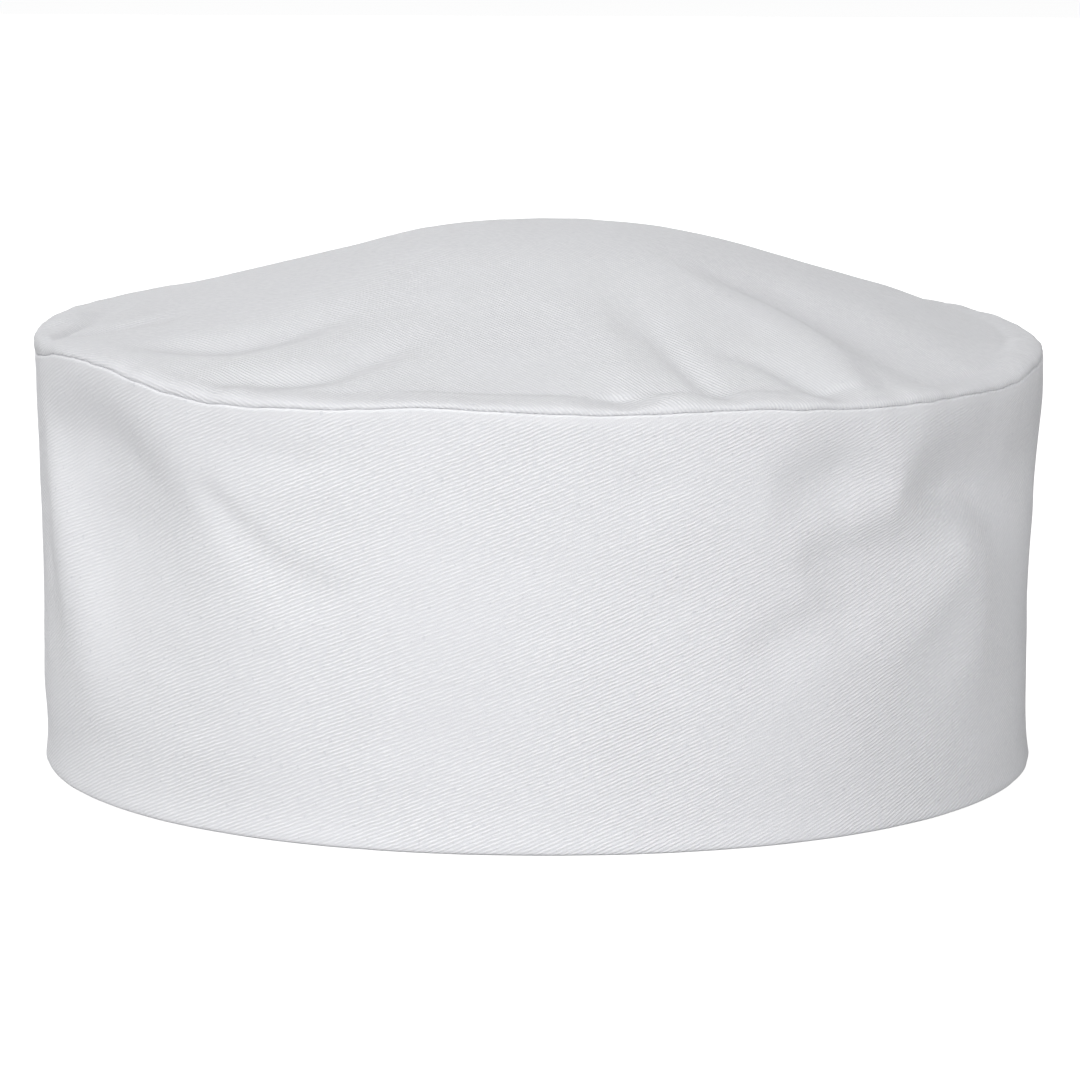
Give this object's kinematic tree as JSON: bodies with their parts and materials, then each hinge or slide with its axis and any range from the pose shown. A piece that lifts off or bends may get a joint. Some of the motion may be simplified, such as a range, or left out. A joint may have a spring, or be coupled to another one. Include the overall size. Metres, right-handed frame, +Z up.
{
  "type": "chef skull cap",
  "caption": "Low brimless cloth cap: an upright folded band closed by a round crown panel that tents up over its middle, open below for the head.",
  "frame": {"origin": "on the surface the cap rests on, under the middle of its outline", "axes": "+Z up from the open hem to the crown, +X towards the right side of the cap, -Y towards its front, the back seam of the band at +Y"},
  "size_m": [0.1943, 0.1838, 0.1027],
  "materials": {
    "band_twill": "matt white cotton twill, folded double and pressed",
    "crown_twill": "matt white cotton twill, one layer, softly creased"
  },
  "bodies": {
    "root": {"side_band": "band_twill", "crown": "crown_twill"}
  },
  "joints": []
}
